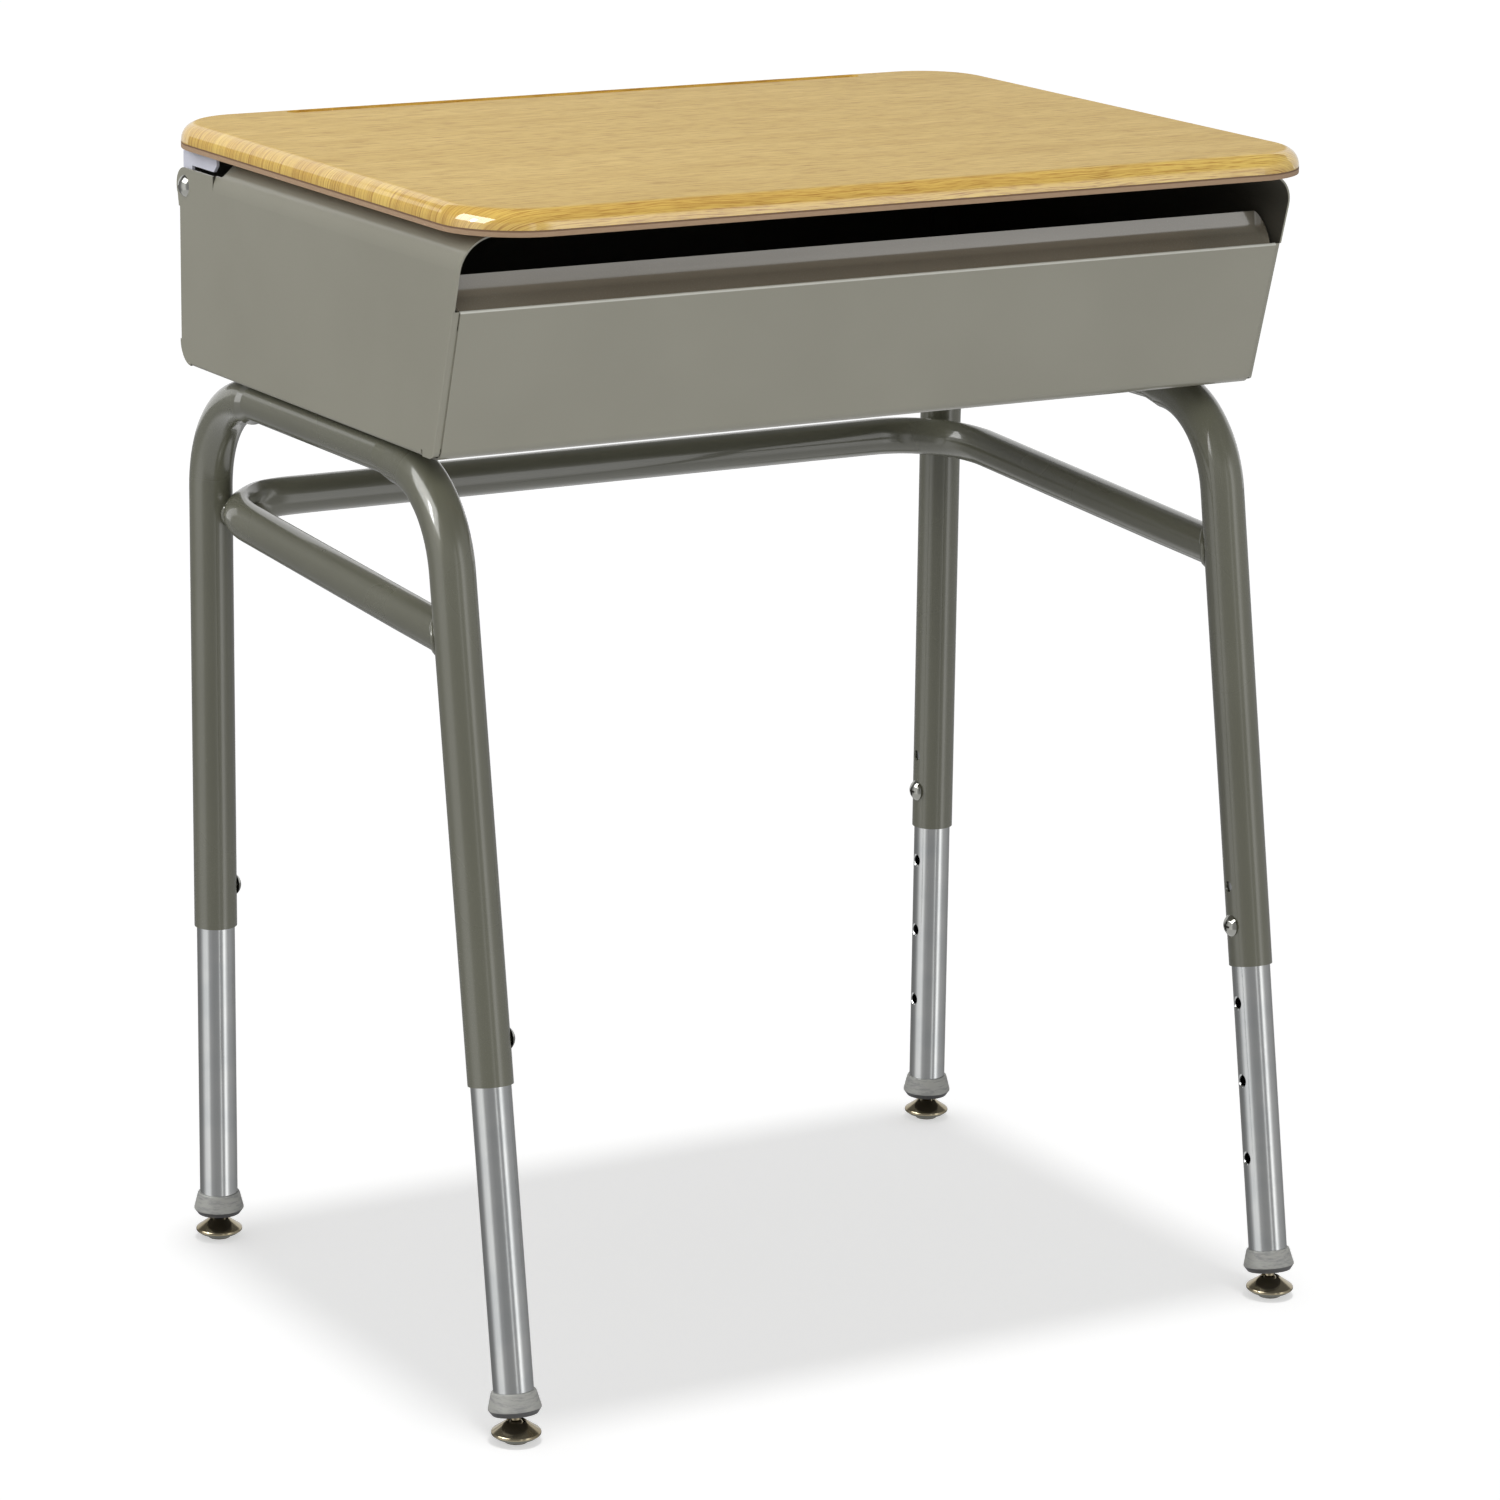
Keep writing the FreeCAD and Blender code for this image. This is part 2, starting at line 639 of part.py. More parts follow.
def frame_solid(shrink, run_out):
    """Left side frame as a solid bar, its surface set in by shrink and its open ends run out by run_out."""
    radius = tube_radius - shrink
    pressed = run_height / 2 - shrink
    run_rear = rear_leg_y - frame_bend_radius
    run_front = front_corner_y() + front_bend_reach()
    pieces = []
    for front, corner_y, run_end, inward in ((True, front_corner_y(), run_front, run_transition),
                                             (False, rear_leg_y, run_rear, -run_transition)):
        foot = leg_point(front, tube_end_height) - leg_direction(front) * run_out
        bend = [foot, Vector(-frame_x, corner_y, bend_z), Vector(-frame_x, run_end, bend_z)]
        pieces.append(tube(rounded_path(bend, [frame_bend_radius]), radius, foot, leg_direction(front)))
        mouth = run_section(run_end, bend_z, radius, radius, False)
        end = run_section(run_end + inward, run_z, pressed, run_flat / 2 + pressed, True)
        pieces.append(Part.makeLoft([mouth, end], True, True))
    flat = run_section(run_front + run_transition, run_z, pressed, run_flat / 2 + pressed, True)
    pieces.append(prism(flat, Vector(0, run_rear - run_front - 2 * run_transition, 0)))
    return pieces[0].multiFuse(pieces[1:]).removeSplitter()


def side_frame():
    """Left side frame: one bent tube with two legs and a pressed top run."""
    frame = frame_solid(0, 0).cut(frame_solid(tube_wall, overrun))
    for front in (True, False):
        for step in (0, 1):
            place = lock_place(front, step)
            hole = Part.makeCylinder(lock_screw_radius + lock_gap, tube_diameter)
            frame = frame.cut(along_x(hole, place))
    return frame.cut(box_screw_holes())


def lock_place(front, step):
    """Point on the leg axis level with a lock hole; step 1 is the open hole above the screw."""
    return leg_point(front, lock_hole_height) + leg_direction(front) * step * insert_hole_pitch / 2


def brace_path():
    """Wire of the U-shaped brace, level; its bends touch the rear legs."""
    back_y = rear_leg_y - brace_back_set
    reach = tube_radius + brace_radius + fit_gap
    half = reach - brace_back_set
    bend = half + math.sqrt(half ** 2 + reach ** 2 - brace_back_set ** 2)
    tip_y = leg_point(True, brace_front_height()).y
    corners = [Vector(-frame_x, tip_y, brace_rear_height), Vector(-frame_x, back_y, brace_rear_height),
               Vector(frame_x, back_y, brace_rear_height), Vector(frame_x, tip_y, brace_rear_height)]
    return rounded_path(corners, [bend, bend]), corners[0]


def brace_front_height():
    """Height at which the tilted brace meets the front legs."""
    span = rear_leg_y - brace_back_set - leg_point(True, brace_rear_height).y
    return brace_rear_height - span * math.tan(math.radians(brace_tilt))


def brace_tube():
    """U-shaped brace, tilted down to the front legs and coped to their backs."""
    path, start = brace_path()
    along = Vector(0, 1, 0)
    brace = tube(path, brace_radius, start, along).cut(tube(path, brace_radius - brace_wall, start, along))
    back_y = rear_leg_y - brace_back_set
    brace.rotate(Vector(0, back_y, brace_rear_height), X_AXIS, brace_tilt)
    for front in (True, False):
        foot = leg_point(front, tube_end_height)
        leg = Part.makeCylinder(tube_radius + fit_gap, bend_z - tube_end_height, foot, leg_direction(front))
        brace = brace.cut(leg).cut(mirrored(leg))
    return max(brace.Solids, key=lambda solid: solid.Volume)


def lock_screws():
    """Screws on the inner faces of the legs, backed off clear of the inserts."""
    tip = insert_radius + slip_gap
    shank = tube_radius - tip
    screw = dome_head(lock_head_radius, lock_head_height).cut(cross_recess(lock_head_height))
    screw = screw.fuse(Part.makeCylinder(lock_screw_radius, shank, Z_AXIS * -shank))
    screws = []
    for front in (True, False):
        left = along_x(screw, lock_place(front, 0) + X_AXIS * tube_radius)
        screws += [left, mirrored(left)]
    return Part.makeCompound(screws)


def on_leg(shape, front):
    """Set a solid made about Z, with the glide's ball centre as origin, on a left leg."""
    placed = shape.copy()
    if front:
        placed.rotate(Vector(0, 0, 0), X_AXIS, -front_leg_lean)
    placed.translate(leg_point(front, ball_height))
    return placed


def leg_reach(front, height):
    """Distance up the leg axis from the ball centre to a height above the floor."""
    return (height - ball_height) / leg_direction(front).z


def leg_insert(front):
    """Left leg insert: bright tube with a row of adjustment holes on its inner face."""
    bottom = leg_reach(front, ferrule_bottom_height) + ferrule_floor
    top = leg_reach(front, lock_hole_height) + insert_overlap
    insert = Part.makeCylinder(insert_radius, top - bottom, Vector(0, 0, bottom))
    insert = insert.cut(Part.makeCylinder(insert_radius - insert_wall, top - bottom, Vector(0, 0, bottom)))
    lock = leg_reach(front, lock_hole_height)
    hole = Part.makeCylinder(insert_hole_radius, 2 * insert_radius)
    dimple = Part.makeCone(insert_hole_radius, insert_hole_radius + hole_dimple, hole_dimple)
    for step in range(insert_hole_count):
        place = Vector(0, 0, lock - step * insert_hole_pitch)
        rim = along_x(dimple, place + X_AXIS * (insert_radius - hole_dimple))
        insert = insert.cut(along_x(hole, place)).cut(rim)
    return on_leg(insert, front)


def ferrule(front):
    """Grey cap over the end of an insert, with a plug inside it that holds the glide stem."""
    bottom = leg_reach(front, ferrule_bottom_height)
    top = bottom + ferrule_height
    seat = bottom + ferrule_floor
    plug_radius = insert_radius - insert_wall - fit_gap
    mouth = insert_radius + fit_gap
    bore = stem_radius + fit_gap
    lip_top = bottom + ferrule_lip_height
    plug_top = seat + ferrule_plug_height
    cap = revolved([(bore, bottom), (ferrule_lip_radius - ferrule_tuck, bottom),
                    (ferrule_lip_radius, lip_top), (ferrule_lip_radius, lip_top + ferrule_edge),
                    (ferrule_top_radius + ferrule_edge / 2, top - ferrule_edge), (ferrule_top_radius, top),
                    (mouth, top), (mouth, seat), (plug_radius, seat), (plug_radius, plug_top),
                    (bore, plug_top)])
    return on_leg(cap, front)


def glide_stem(front):
    """Ball-ended stem pressed into a ferrule."""
    collar_top = leg_reach(front, ferrule_bottom_height)
    collar = Part.makeCylinder(stem_collar_radius, stem_collar_height,
                               Vector(0, 0, collar_top - stem_collar_height))
    stem = Part.makeCylinder(stem_radius, stem_length)
    return on_leg(Part.makeSphere(ball_radius).fuse(stem).fuse(collar).removeSplitter(), front)


def on_floor(shape, front):
    """Set a solid made about Z at the foot of a left leg."""
    return shape.translated(Vector(-frame_x, leg_point(front, ball_height).y, 0))


def glide_cup(front):
    """Plated pressed cup of a swivel glide, its rim rolled under, level on the floor."""
    profile = [Vector(r, 0, z) for r, z in ((glide_radius - glide_tuck, base_foot_height),
                                            (glide_radius, glide_under_z), (glide_radius, glide_rim_z),
                                            (glide_cup_top_radius, glide_cup_top))]
    cup = strip(profile, [glide_rim_round] * 2, glide_cup_wall)
    return on_floor(cup.revolve(Vector(0, 0, 0), Z_AXIS, 360), front)


def seat_radius(z):
    """Radius of the glide's nylon foot where it fills the cup at height z."""
    wall = (glide_cup_wall + fit_gap) * math.hypot(1, glide_slope)
    return glide_radius - wall - glide_slope * (z - glide_rim_z)


def glide_base(front):
    """Nylon foot of a swivel glide, with the socket for the ball."""
    foot = revolved([(0, 0), (base_radius - base_edge_radius, 0), (base_radius, base_edge_radius),
                     (base_neck_radius, base_foot_height), (base_neck_radius, glide_under_z),
                     (seat_radius(glide_rim_z), glide_rim_z), (seat_radius(ball_height), ball_height),
                     (0, ball_height)])
    foot = foot.cut(Part.makeSphere(ball_radius + slip_gap, Vector(0, 0, ball_height)))
    return on_floor(foot, front)


def save(name, shape):
    """Write one sub-part."""
    shape.exportStep("parts/" + name + ".step")


def save_pair(name, shape):
    """Write a left sub-part and its mirror image on the right."""
    save(name + "_left", shape)
    save(name + "_right", mirrored(shape))


os.makedirs("parts", exist_ok=True)
save("lid_board", lid_board())
save("lid_backer", lid_backer())
save("lid_screws", lid_screws())
save_pair("hinge_arm", hinge_arm())
save_pair("hinge_rivet", hinge_rivet())
save("box_wrap", box_wrap())
save_pair("side_panel", side_panel())
save("pencil_tray", pencil_tray())
save("lid_bumpers", bumpers())
save("box_screws", box_screws())
save_pair("side_frame", side_frame())
save("brace_tube", brace_tube())
save("lock_screws", lock_screws())
for place, is_front in (("front", True), ("rear", False)):
    save_pair("leg_insert_" + place, leg_insert(is_front))
    save_pair("ferrule_" + place, ferrule(is_front))
    save_pair("glide_stem_" + place, glide_stem(is_front))
    save_pair("glide_cup_" + place, glide_cup(is_front))
    save_pair("glide_base_" + place, glide_base(is_front))
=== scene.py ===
"""School desk with a lift lid: finishes, small fittings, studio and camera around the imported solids."""
import bmesh
import bpy
import json
import math
from mathutils import Matrix, Vector


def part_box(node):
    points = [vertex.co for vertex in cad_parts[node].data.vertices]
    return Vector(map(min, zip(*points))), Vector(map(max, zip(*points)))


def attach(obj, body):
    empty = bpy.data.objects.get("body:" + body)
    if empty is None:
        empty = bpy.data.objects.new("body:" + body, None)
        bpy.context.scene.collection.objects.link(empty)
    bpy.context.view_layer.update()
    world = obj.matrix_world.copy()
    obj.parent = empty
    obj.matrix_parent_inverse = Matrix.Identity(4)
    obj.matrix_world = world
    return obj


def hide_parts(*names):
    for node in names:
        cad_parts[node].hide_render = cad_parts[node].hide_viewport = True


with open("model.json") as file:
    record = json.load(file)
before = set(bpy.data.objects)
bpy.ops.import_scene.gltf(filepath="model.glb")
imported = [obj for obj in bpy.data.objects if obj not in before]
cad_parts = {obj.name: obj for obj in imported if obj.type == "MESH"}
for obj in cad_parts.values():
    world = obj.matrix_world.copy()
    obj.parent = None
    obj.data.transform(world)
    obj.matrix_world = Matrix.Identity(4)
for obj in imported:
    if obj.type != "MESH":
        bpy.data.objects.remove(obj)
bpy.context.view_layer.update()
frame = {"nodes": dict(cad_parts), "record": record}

# Camera, as angles in degrees, a place in metres and a lens in millimetres
camera_azimuth = -30.142
camera_elevation = 14.251
camera_roll = 0.723
camera_place = Vector((-1.8177, -3.14555, 1.2786))
camera_lens = 136.59
sensor_width = 36.0

# Studio, in metres and degrees; its front is turned away from the desk's front
floor_size = 40.0
floor_shade = 0.75
floor_bounce = 0.90
floor_glow = 0.53
sky_strength = 0.36
sun_strength = 1.00
sun_width = 5.0
studio_turn = -30.0

# Card lamps: degrees right of the studio's front, distance, height, width, length, brightness;
# they aim at a share of the desk's height
studio_cards = {
    "right_strip": (50, 2.6, 2.2, 0.5, 1.4, 8.8),
    "left_strip": (-92, 2.4, 2.4, 1.4, 1.8, 5.9),
    "front_fill": (-8, 2.8, 2.1, 2.0, 1.6, 3.5)}
aim_share = 0.6

# What shiny surfaces see round the studio: degrees to the right of its front, and a grey
studio_bands = (
    (-180, 0.26), (-125, 0.22), (-100, 0.32), (-74, 0.95), (-50, 1.05), (-36, 0.45), (-12, 0.34),
    (14, 0.34), (22, 0.45), (25, 0.90), (29, 0.90), (33, 0.42), (44, 0.42), (48, 0.90), (51, 1.50),
    (58, 1.55), (62, 1.35), (66, 0.95), (72, 0.70), (80, 0.50), (110, 0.40), (140, 0.30), (180, 0.26))
band_gain = 40.0

# Above and below the bands: a grey, and the sines of elevation over which it takes over
ceiling_grey = 0.16
ceiling_edge = (0.35, 0.6)
ground_grey = 0.75
ground_edge = (0.42, 0.62)

# Bright windows that only shiny surfaces see: degrees right and up, half width and height, brightness
studio_windows = (
    (-66, 38, 0.44, 0.27, 4.6), (-60, 31, 0.05, 0.12, 24.0), (180, 12, 1.2, 0.36, 0.85))
window_blur = 0.02
window_ahead = (0.1, 0.12)

# Brace, in metres and degrees: level first, then tilted about its rear run
frame_x = 0.2825
brace_radius = 0.0127
brace_bend = 0.0583
brace_height = 0.510
brace_back_y = 0.20525
brace_tilt = 3.3
brace_tip_y = -0.1305
brace_ease = 0.04
brace_sides = 48
brace_bend_steps = 28
run_steps = 4
ease_steps = 6
bar_steps = 8
cope_sink = 0.0004
cope_reach = 0.03

# Buckled inside of the brace's bends: reach along it, depth, and the ridges beside it
crush_reach = 0.022
crush_depth = 0.016
crush_curve = 0.7
crush_share = {-1: 1.0, 1: 0.16}
ridge_reach = 0.028
ridge_height = 0.003
ridge_turn = 78.0
ridge_width = 24.0

# Welds, in metres; the beads stay in the wall of the leg, clear of the insert inside it
weld_radius = 0.0019
weld_lift = 0.0016
weld_steps = 3
rear_leg_y = 0.20925
tack_radius = 0.0052
tack_drop = 0.006
tack_shift = 0.006
tack_stretch = (1.0, 1.0, 1.5)
tack_steps = 4

# Pencil trough, in metres and degrees: faces that show, then the sheet behind them
tray_half = 0.2960
tray_front_y = -0.1695
tray_front_z = 0.6945
tray_rear_y = -0.1535
tray_rear_z = 0.7035
tray_top_z = 0.7153
tray_lean = 0.0024
tray_bend = 0.005
tray_bend_steps = 8
tray_flange = 0.014
tray_sheet = 0.001
front_lean = 16.0

# Edges up to these angles, in degrees, are shaded smooth; vertices up to this distance are merged
brace_smooth = 60
weld_smooth = 180
tray_smooth = 40
merge_distance = 0.00001

# Edges between finishes on one piece, and of the painted highlight along the hem and the painted shade
# inside the box, in metres
hem_edge = (0.6957, 0.6965)
hem_depth = (-0.168, -0.164)
inside_edge = (-0.03, 0.0)
sole_height = (0.0050, 0.0056)
glue_depth = (0.0013, 0.0009)

# Patterns: scales of noise over metres, stretches along and across the grain, bump heights in metres
paint_cloud = 9.0
paint_peel = 900.0
paint_dust = 2600.0
paint_bump = 0.00001
grain_drift = 0.012
grain_band = (1.2, 14.0, 1.0)
grain_streak = (7.0, 260.0, 1.0)
grain_fleck = (24.0, 520.0, 1.0)
laminate_bump = 0.000004
backer_layer = 220.0
backer_stretch = (1.0, 1.0, 60.0)
metal_cloud = 40.0
metal_line = 1400.0
metal_bump = 0.00001
moulded_grain = 1800.0
moulded_scuff = 110.0
scuff_stretch = (1.0, 1.0, 5.0)
moulded_bump = 0.00003

# Places read from the frame
lid_low, lid_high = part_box("lid_board")
lid_middle_y = (lid_low.y + lid_high.y) / 2
lid_top_z = lid_high.z
box_low, box_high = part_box("box_wrap")
box_middle = (box_low + box_high) / 2
desk_middle = Vector((0.0, lid_middle_y, lid_top_z * aim_share))


class Signal:
    """One socket of a material's nodes; sums and products of signals add Math nodes."""

    def __init__(self, tree, socket=None):
        self.tree = tree
        self.socket = socket

    def node(self, kind, settings, sockets, output=0):
        """Add a node: its settings first, then the values or links of its sockets."""
        made = self.tree.nodes.new(kind)
        for name, setting in settings.items():
            if name == "stops":
                points = made.color_ramp.elements
                while len(points) < len(setting):
                    points.new(1.0)
                for point, (place, colour) in zip(points, setting):
                    point.position = place
                    point.color = colour
            else:
                setattr(made, name, setting)
        for name, value in sockets.items():
            if isinstance(value, Signal):
                self.tree.links.new(value.socket, made.inputs[name])
            else:
                made.inputs[name].default_value = value
        return Signal(self.tree, made.outputs[output] if made.outputs else None)

    def math(self, operation, first, second=0.0):
        """Add a Math node on one or two values."""
        return self.node("ShaderNodeMath", {"operation": operation}, {0: first, 1: second})

    def __add__(self, other):
        return self.math("ADD", self, other)

    def __radd__(self, other):
        return self.math("ADD", other, self)

    def __sub__(self, other):
        return self.math("SUBTRACT", self, other)

    def __rsub__(self, other):
        return self.math("SUBTRACT", other, self)

    def __mul__(self, other):
        return self.math("MULTIPLY", self, other)

    def __rmul__(self, other):
        return self.math("MULTIPLY", other, self)

    def __truediv__(self, other):
        return self.math("DIVIDE", self, other)

    def __abs__(self):
        return self.math("ABSOLUTE", self)

    def above(self, low, high):
        """0 up to low, 1 from high, smooth between them."""
        return self.node("ShaderNodeMapRange", {"interpolation_type": "SMOOTHSTEP"},
                         {"Value": self, "From Min": low, "From Max": high})

    def between(self, first, second):
        """Colour between two colours, by this signal."""
        return self.node("ShaderNodeMix", {"data_type": "RGBA"}, {0: self, 6: first, 7: second}, 2)

    def part(self, name):
        """One coordinate of a vector signal."""
        return self.node("ShaderNodeSeparateXYZ", {}, {0: self}, "XYZ".index(name))

    def facing(self):
        """Way that the surface faces."""
        return self.node("ShaderNodeTexCoord", {}, {}, "Normal")

    def stretched(self, x, y, z):
        """Vector signal with each coordinate scaled."""
        return self.node("ShaderNodeVectorMath", {"operation": "MULTIPLY"}, {0: self, 1: (x, y, z)})

    def noise(self, scale, detail=3.0, rough=0.5):
        """Cloudy pattern over a vector signal, about 0.5 on average."""
        return self.node("ShaderNodeTexNoise", {},
                         {"Vector": self, "Scale": scale, "Detail": detail, "Roughness": rough})


def shade(red, green, blue):
    """Linear colour from 0 to 255 display values."""
    linear = [(value / 255 / 12.92) if value <= 10 else ((value / 255 + 0.055) / 1.055) ** 2.4
              for value in (red, green, blue)]
    return (*linear, 1.0)


def grey(level):
    """Grey as a linear colour."""
    return (level, level, level, 1.0)


def empty_nodes(owner):
    """Clear the nodes of a material or world, as a signal to add nodes from."""
    owner.use_nodes = True
    owner.node_tree.nodes.clear()
    return Signal(owner.node_tree)


def new_finish(name):
    """Empty material with its object coordinates as a first signal."""
    material = bpy.data.materials.new(name)
    place = empty_nodes(material).node("ShaderNodeTexCoord", {}, {}, "Object")
    return material, place


def close_finish(place, sockets, bump=None, bump_height=0.0):
    """Add the surface shader, with a bump where one is given, and the output."""
    if bump is not None:
        sockets["Normal"] = place.node("ShaderNodeBump", {}, {"Height": bump, "Distance": bump_height})
    surface = place.node("ShaderNodeBsdfPrincipled", {}, sockets)
    place.node("ShaderNodeOutputMaterial", {}, {"Surface": surface})


def paint_finish(name, colour, worn, roughness, coat, coat_ior=1.5, inner=None, hem=None):
    """Semi-gloss sprayed paint with clouding and dust; where given, painted shade on the faces inside the
    box and a painted highlight along the hem.
    """
    material, place = new_finish(name)
    cloud = place.noise(paint_cloud, 2.0)
    peel = place.noise(paint_peel, 1.0)
    dust = place.noise(paint_dust, 0.0).above(0.68, 0.8)
    tint = (cloud.above(0.3, 0.7) * 0.8 + dust * 0.2).between(colour, worn)
    gloss = roughness + (cloud - 0.5) * 0.12 + dust * 0.1
    # A thin lighter line along the top of the front's hem: painted highlight
    if hem is not None:
        at_hem = place.part("Z").above(*hem_edge) * (1 - place.part("Y").above(*hem_depth))
        tint = at_hem.between(tint, hem)
    # Faces turned towards the middle of the box take the inner colour: painted shade inside the box, with
    # rougher paint and no coat there
    if inner is not None:
        outward = place.node("ShaderNodeVectorMath", {"operation": "SUBTRACT"}, {0: place, 1: box_middle})
        turned = place.node("ShaderNodeVectorMath", {"operation": "DOT_PRODUCT"},
                            {0: outward, 1: place.facing()}, 1)
        inside = 1 - turned.above(*inside_edge)
        tint = inside.between(tint, inner)
        gloss = gloss + inside * 0.2
        coat = coat * (1 - inside)
    close_finish(place, {"Base Color": tint, "Roughness": gloss, "IOR": 1.5, "Coat Weight": coat,
                         "Coat Roughness": 0.08, "Coat IOR": coat_ior}, peel, paint_bump)
    return material


def laminate_finish():
    """Maple-look laminate with grain along the desk and a postformed edge."""
    material, place = new_finish("laminate_maple")
    y = place.part("Y")
    facing = place.facing()
    off_middle = y - lid_middle_y
    side = off_middle.math("SIGN", off_middle)
    across = y - side * (place.part("Z") - lid_top_z) * abs(facing.part("Y"))
    drift = place.stretched(1.0, 2.5, 1.0).noise(9.0, 2.0) - 0.5
    board = place.node("ShaderNodeCombineXYZ", {},
                       {0: place.part("X"), 1: across + drift * grain_drift, 2: 0.0})
    band = board.stretched(*grain_band).noise(2.2, 3.0, 0.55)
    streak = board.stretched(*grain_streak).noise(2.6, 4.0, 0.6)
    fleck = board.stretched(*grain_fleck).noise(2.4, 2.0, 0.6)
    # The flat top takes darker grain colours than the rolled edge: painted shade against the strong light
    # from above
    flat = facing.part("Z").above(0.93, 0.995)
    pale = flat.between(shade(222, 190, 98), shade(203, 175, 108))
    mid = flat.between(shade(208, 170, 82), shade(192, 163, 95))
    dark = flat.between(shade(160, 114, 45), shade(151, 118, 60))
    ground = band.above(0.3, 0.7).between(pale, mid)
    grain = (streak.above(0.42, 0.7) * 0.5 + fleck.above(0.46, 0.66) * 0.65).between(ground, dark)
    rough = 0.36 + (streak - 0.5) * 0.12
    close_finish(place, {"Base Color": grain, "Roughness": rough, "Specular IOR Level": 0.015,
                         "Coat Weight": 1 - flat * 0.945, "Coat Roughness": 0.04, "Coat IOR": 2.1},
                 streak, laminate_bump)
    return material


def backer_finish():
    """Brown edge of the backer: a dark glue line above paler pressed layers."""
    material, place = new_finish("backer_board")
    layers = place.stretched(*backer_stretch).noise(backer_layer, 3.0)
    body = layers.above(0.3, 0.7).between(shade(166, 140, 114), shade(148, 121, 95))
    glue = place.part("Z").above(*[lid_low.z - depth for depth in glue_depth])
    close_finish(place, {"Base Color": glue.between(body, shade(112, 86, 62)), "Roughness": 0.65})
    return material


def metal_finish(name, colour, stained, roughness, lines=1.0, bare=1.0, sole=None):
    """Plated or drawn metal with fine lines, slight clouding and, where given, a worn sole."""
    material, place = new_finish(name)
    cloud = place.noise(metal_cloud, 2.0)
    drawn = place.stretched(1.0, 1.0, lines).noise(metal_line, 2.0)
    tint = (cloud.above(0.35, 0.7) * 0.6 + drawn * 0.3).between(colour, stained)
    rough = roughness + (drawn - 0.5) * 0.14 + (cloud - 0.5) * 0.08
    if sole is not None:
        above_sole = place.part("Z").above(*sole_height)
        tint = above_sole.between(sole, tint)
        rough = rough + (1 - above_sole) * 0.4
        bare = above_sole * bare
    close_finish(place, {"Base Color": tint, "Metallic": bare, "Roughness": rough}, drawn, metal_bump)
    return material


def moulded_finish(name, colour, scuffed, roughness, downward_shade=None):
    """Moulded plastic or rubber: fine grain, scuffs around it and, where given, painted shade on faces that
    point downwards.
    """
    material, place = new_finish(name)
    grain = place.noise(moulded_grain, 2.0)
    scuff = place.stretched(*scuff_stretch).noise(moulded_scuff, 4.0, 0.7).above(0.42, 0.68)
    tint = (scuff * 0.7 + grain * 0.2).between(colour, scuffed)
    # Faces that point downwards take a darker colour: painted shade
    if downward_shade is not None:
        tint = (1 - place.facing().part("Z").above(-0.55, -0.1)).between(tint, downward_shade)
    close_finish(place, {"Base Color": tint, "Roughness": roughness + scuff * 0.12}, grain, moulded_bump)
    return material


box_grey = shade(141, 139, 125)
box_dusty = shade(136, 134, 120)
# Darker grey on the faces inside the box: painted shade
box_inside_shade = shade(74, 72, 64)
# Light grey along the hem at the top of the front: painted highlight
box_hem_highlight = shade(196, 197, 188)
box_paint = paint_finish("box_paint", box_grey, box_dusty, roughness=0.36, coat=0.8, inner=box_inside_shade)
wrap_paint = paint_finish("wrap_paint", box_grey, box_dusty, roughness=0.36, coat=0.8, inner=box_inside_shade,
                          hem=box_hem_highlight)
# Darker, browner grey than the box paint: painted shade for the trough under the lid
tray_paint = paint_finish("tray_paint", shade(124, 119, 106), shade(118, 113, 100), roughness=0.24,
                          coat=1.0, coat_ior=1.8)
frame_paint = paint_finish("frame_paint", shade(98, 98, 84), shade(92, 92, 78), roughness=0.28, coat=0.9,
                           coat_ior=1.58)
laminate = laminate_finish()
backer = backer_finish()
zinc = metal_finish("zinc_plate", shade(225, 226, 238), shade(208, 210, 222), roughness=0.42, bare=0.35)
bright_steel = metal_finish("bright_steel", shade(182, 182, 176), shade(156, 156, 150), roughness=0.09)
insert_steel = metal_finish("insert_steel", shade(208, 209, 208), shade(194, 197, 198), roughness=0.16,
                            lines=0.02)
glide_nickel = metal_finish("glide_nickel", shade(182, 172, 148), shade(152, 138, 108), roughness=0.15,
                            sole=shade(112, 113, 102))
# The ferrules' downward faces take a dark grey: painted shade
ferrule_grey = moulded_finish("ferrule_grey", shade(160, 160, 155), shade(128, 129, 129), roughness=0.5,
                              downward_shade=shade(64, 64, 66))
glide_nylon = moulded_finish("glide_nylon", shade(132, 128, 112), shade(118, 114, 100), roughness=0.45)
bumper_rubber = moulded_finish("bumper_rubber", shade(52, 52, 52), shade(66, 66, 66), roughness=0.7)

finish_of_slot = {
    "grey_paint": box_paint, "laminate": laminate, "backer": backer, "zinc": zinc,
    "bright_steel": bright_steel, "chrome": insert_steel, "nickel": glide_nickel,
    "ferrule": ferrule_grey, "nylon": glide_nylon, "bumper": bumper_rubber}
finish_of_node = {
    "side_frame_left": frame_paint, "side_frame_right": frame_paint, "box_wrap": wrap_paint}
slot_of_node = {part["node"]: part["material_slot"] for part in frame["record"]["subparts"]}

for node_name, piece in frame["nodes"].items():
    piece.data.materials.clear()
    chosen = finish_of_node.get(node_name, finish_of_slot[slot_of_node[node_name]])
    piece.data.materials.append(chosen)


def clear_selection():
    """Leave nothing selected, so that the next operator acts on the new piece alone."""
    bpy.ops.object.select_all(action="DESELECT")


def select_only(piece):
    """Select one piece and make it the active one."""
    clear_selection()
    piece.select_set(True)
    bpy.context.view_layer.objects.active = piece


def settle():
    """Work the place, turn and scale of the active piece into its mesh."""
    bpy.ops.object.transform_apply(location=True, rotation=True, scale=True)


def open_mesh():
    """Open the active piece in edit mode with all of it selected."""
    bpy.ops.object.mode_set(mode="EDIT")
    bpy.ops.mesh.select_all(action="SELECT")


def close_mesh():
    """Merge doubles, turn the faces outwards and leave edit mode."""
    bpy.ops.mesh.select_all(action="SELECT")
    bpy.ops.mesh.remove_doubles(threshold=merge_distance)
    bpy.ops.mesh.normals_make_consistent(inside=False)
    bpy.ops.object.mode_set(mode="OBJECT")


